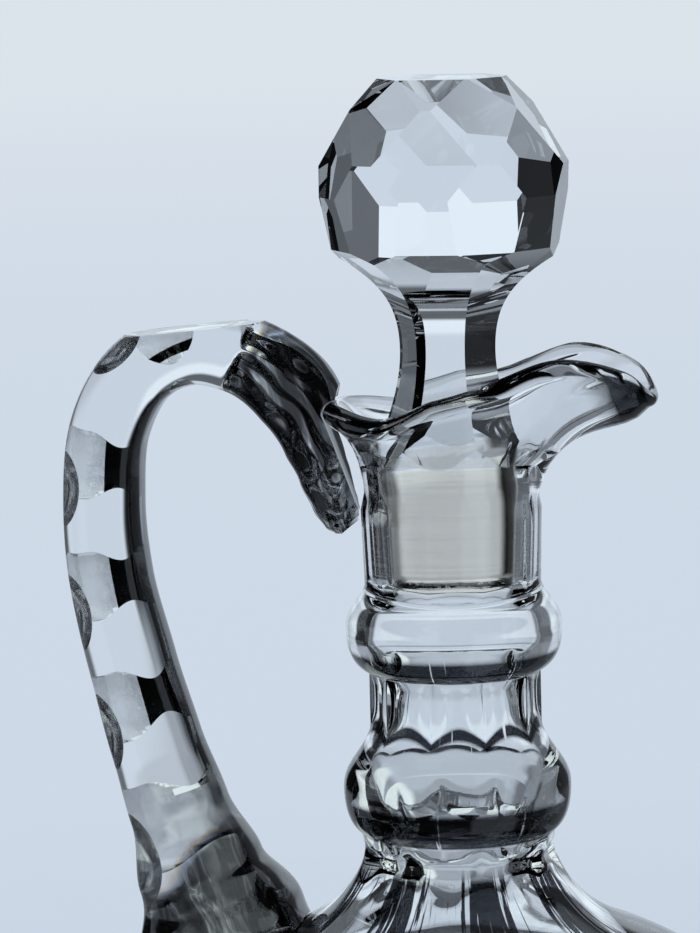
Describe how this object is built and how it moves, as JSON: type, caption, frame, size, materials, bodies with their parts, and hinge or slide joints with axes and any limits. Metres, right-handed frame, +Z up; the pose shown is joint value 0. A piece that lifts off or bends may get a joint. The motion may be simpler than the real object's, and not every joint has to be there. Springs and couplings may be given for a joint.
{
  "type": "cruet",
  "caption": "Cut-glass cruet: flared foot and body, tall panelled neck with two rings, wide pouring lip, applied loop handle with scalloped edges, and a faceted ball stopper.",
  "frame": {"origin": "centre of the flat base, where it stands on the table", "axes": "+Z up along the neck, +X to the pouring lip, -X to the handle"},
  "size_m": [0.089, 0.084, 0.1524],
  "materials": {
    "vessel_glass": "polished",
    "handle_glass": "polished",
    "stopper_glass": "polished, with a finely ground plug"
  },
  "bodies": {
    "vessel_body": {"vessel": "vessel_glass", "handle": "handle_glass"},
    "stopper_body": {"stopper": "stopper_glass"}
  },
  "joints": [
    {"name": "stopper_lift", "type": "slide", "parent": "vessel_body", "child": "stopper_body", "axis": [0, 0, 1], "range_m": [0, 0.045]}
  ]
}
